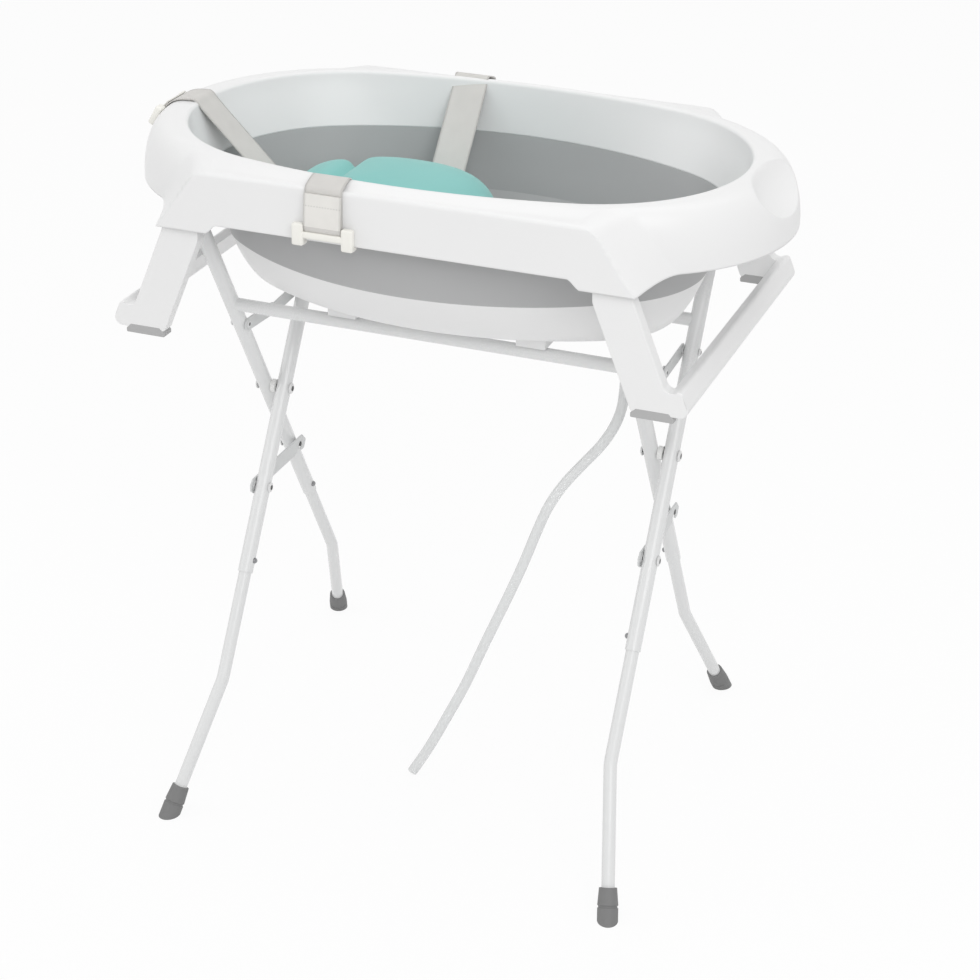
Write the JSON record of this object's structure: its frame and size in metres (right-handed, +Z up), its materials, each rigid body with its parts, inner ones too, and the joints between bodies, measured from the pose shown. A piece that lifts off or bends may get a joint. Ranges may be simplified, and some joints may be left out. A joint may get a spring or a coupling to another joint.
{
  "type": "baby bath with stand",
  "caption": "Oval baby bath with a collapsible grey wall, folding end legs, strapped cushion and drain hose, resting on a crossed folding tube stand.",
  "frame": {"origin": "on the floor under the middle of the bath", "axes": "+X along the bath to its drain end, +Y from front to back, +Z up"},
  "size_m": [0.8007, 0.6012, 0.847],
  "materials": {
    "tube_paint": "white powder coat",
    "link_paint": "light grey coat",
    "rivet_steel": "black finish",
    "spacer_plastic": "moulded",
    "button_steel": "bright",
    "foot_rubber": "matt grey",
    "rim_plastic": "satin white moulding",
    "wall_rubber": "soft grey",
    "base_plastic": "satin white moulding",
    "leg_plastic": "satin white moulding",
    "pad_rubber": "soft light grey",
    "drain_plastic": "white moulding",
    "hose_plastic": "milky and flexible",
    "cushion_fabric": "mint knit",
    "strap_fabric": "woven webbing",
    "clip_plastic": "ivory moulding"
  },
  "bodies": {
    "stand_pivot": {"pivot_rivets": "rivet_steel", "pivot_spacers": "spacer_plastic"},
    "rear_frame": {"rear_frame_left_tube": "tube_paint", "rear_left_lower_leg": "tube_paint", "rear_left_foot": "foot_rubber", "rear_frame_right_tube": "tube_paint", "rear_right_lower_leg": "tube_paint", "rear_right_foot": "foot_rubber", "rear_frame_crossbar": "tube_paint", "rear_tube_plugs": "spacer_plastic", "rear_stay_rivets": "rivet_steel", "latch_pins": "rivet_steel"},
    "front_frame": {"front_frame_left_tube": "tube_paint", "front_left_lower_leg": "tube_paint", "front_left_foot": "foot_rubber", "front_frame_right_tube": "tube_paint", "front_right_lower_leg": "tube_paint", "front_right_foot": "foot_rubber", "front_frame_crossbar": "tube_paint", "front_tube_plugs": "spacer_plastic", "front_stay_rivets": "rivet_steel", "latch_rivets": "rivet_steel"},
    "left_rear_link": {"left_rear_stay": "link_paint"},
    "left_front_link": {"left_front_stay": "link_paint", "left_stay_mid_rivet": "rivet_steel"},
    "left_latch": {"left_latch_bar": "link_paint"},
    "right_rear_link": {"right_rear_stay": "link_paint"},
    "right_front_link": {"right_front_stay": "link_paint", "right_stay_mid_rivet": "rivet_steel"},
    "right_latch": {"right_latch_bar": "link_paint"},
    "bath": {"bath_rim": "rim_plastic", "collapsible_wall": "wall_rubber", "left_leg_hinge_pins": "rivet_steel", "right_leg_hinge_pins": "rivet_steel", "front_strap": "strap_fabric", "back_strap": "strap_fabric", "head_strap": "strap_fabric", "front_clip": "clip_plastic", "back_clip": "clip_plastic", "head_clip": "clip_plastic"},
    "base": {"bath_base": "base_plastic", "base_saddles": "base_plastic", "drain_outlet": "drain_plastic", "drain_hose": "hose_plastic", "bath_cushion": "cushion_fabric"},
    "plug": {"drain_plug": "drain_plastic"},
    "left_leg": {"left_bath_leg": "leg_plastic", "left_leg_pads": "pad_rubber"},
    "right_leg": {"right_bath_leg": "leg_plastic", "right_leg_pads": "pad_rubber"},
    "rear_left_button": {"rear_left_snap_button": "button_steel"},
    "rear_right_button": {"rear_right_snap_button": "button_steel"},
    "front_left_button": {"front_left_snap_button": "button_steel"},
    "front_right_button": {"front_right_snap_button": "button_steel"}
  },
  "joints": [
    {"name": "bath_lift", "type": "slide", "parent": "stand_pivot", "child": "bath", "axis": [0, 0, 1], "range_m": [0, 0.35], "deforming": ["drain_hose"]},
    {"name": "rear_frame_fold", "type": "hinge", "parent": "stand_pivot", "child": "rear_frame", "pos_m": [0, 0, 0.476], "axis": [-1, 0, 0], "range_deg": [0, 26.61]},
    {"name": "front_frame_fold", "type": "hinge", "parent": "stand_pivot", "child": "front_frame", "pos_m": [0, 0, 0.476], "axis": [1, 0, 0], "range_deg": [0, 26.61]},
    {"name": "left_rear_stay_fold", "type": "hinge", "parent": "rear_frame", "child": "left_rear_link", "pos_m": [-0.2567, -0.06549, 0.585], "axis": [-1, 0, 0], "range_deg": [0, 51.36]},
    {"name": "left_front_stay_fold", "type": "hinge", "parent": "front_frame", "child": "left_front_link", "pos_m": [-0.2567, 0.06549, 0.585], "axis": [1, 0, 0], "range_deg": [0, 51.36]},
    {"name": "left_latch_turn", "type": "hinge", "parent": "front_frame", "child": "left_latch", "pos_m": [-0.2567, -0.06609, 0.366], "axis": [1, 0, 0], "range_deg": [0, 43.51]},
    {"name": "right_rear_stay_fold", "type": "hinge", "parent": "rear_frame", "child": "right_rear_link", "pos_m": [0.2567, -0.06549, 0.585], "axis": [-1, 0, 0], "range_deg": [0, 51.36]},
    {"name": "right_front_stay_fold", "type": "hinge", "parent": "front_frame", "child": "right_front_link", "pos_m": [0.2567, 0.06549, 0.585], "axis": [1, 0, 0], "range_deg": [0, 51.36]},
    {"name": "right_latch_turn", "type": "hinge", "parent": "front_frame", "child": "right_latch", "pos_m": [0.2567, -0.06609, 0.366], "axis": [1, 0, 0], "range_deg": [0, 43.51]},
    {"name": "base_collapse", "type": "slide", "parent": "bath", "child": "base", "axis": [0, 0, 1], "range_m": [0, 0.136], "deforming": ["collapsible_wall", "front_strap", "back_strap", "head_strap"]},
    {"name": "plug_pull", "type": "slide", "parent": "base", "child": "plug", "axis": [0, 0, 1], "range_m": [0, 0.06]},
    {"name": "left_leg_fold", "type": "hinge", "parent": "bath", "child": "left_leg", "pos_m": [-0.25, 0, 0.782], "axis": [0, -1, 0], "range_deg": [0, 12]},
    {"name": "right_leg_fold", "type": "hinge", "parent": "bath", "child": "right_leg", "pos_m": [0.25, 0, 0.782], "axis": [0, 1, 0], "range_deg": [0, 12]},
    {"name": "rear_left_button_press", "type": "slide", "parent": "rear_frame", "child": "rear_left_button", "axis": [-1, 0, 0], "range_m": [0, 0.0025], "stiffness_N_per_m": 800},
    {"name": "rear_right_button_press", "type": "slide", "parent": "rear_frame", "child": "rear_right_button", "axis": [1, 0, 0], "range_m": [0, 0.0025], "stiffness_N_per_m": 800},
    {"name": "front_left_button_press", "type": "slide", "parent": "front_frame", "child": "front_left_button", "axis": [-1, 0, 0], "range_m": [0, 0.0025], "stiffness_N_per_m": 800},
    {"name": "front_right_button_press", "type": "slide", "parent": "front_frame", "child": "front_right_button", "axis": [1, 0, 0], "range_m": [0, 0.0025], "stiffness_N_per_m": 800}
  ],
  "couplings": [
    {"joint": "rear_frame_fold", "follows": "bath_lift", "rad_per_m": 1.3264},
    {"joint": "front_frame_fold", "follows": "bath_lift", "rad_per_m": 1.3264},
    {"joint": "left_rear_stay_fold", "follows": "bath_lift", "rad_per_m": 2.5606},
    {"joint": "left_front_stay_fold", "follows": "bath_lift", "rad_per_m": 2.5606},
    {"joint": "left_latch_turn", "follows": "bath_lift", "rad_per_m": 2.1692},
    {"joint": "right_rear_stay_fold", "follows": "bath_lift", "rad_per_m": 2.5606},
    {"joint": "right_front_stay_fold", "follows": "bath_lift", "rad_per_m": 2.5606},
    {"joint": "right_latch_turn", "follows": "bath_lift", "rad_per_m": 2.1692}
  ]
}
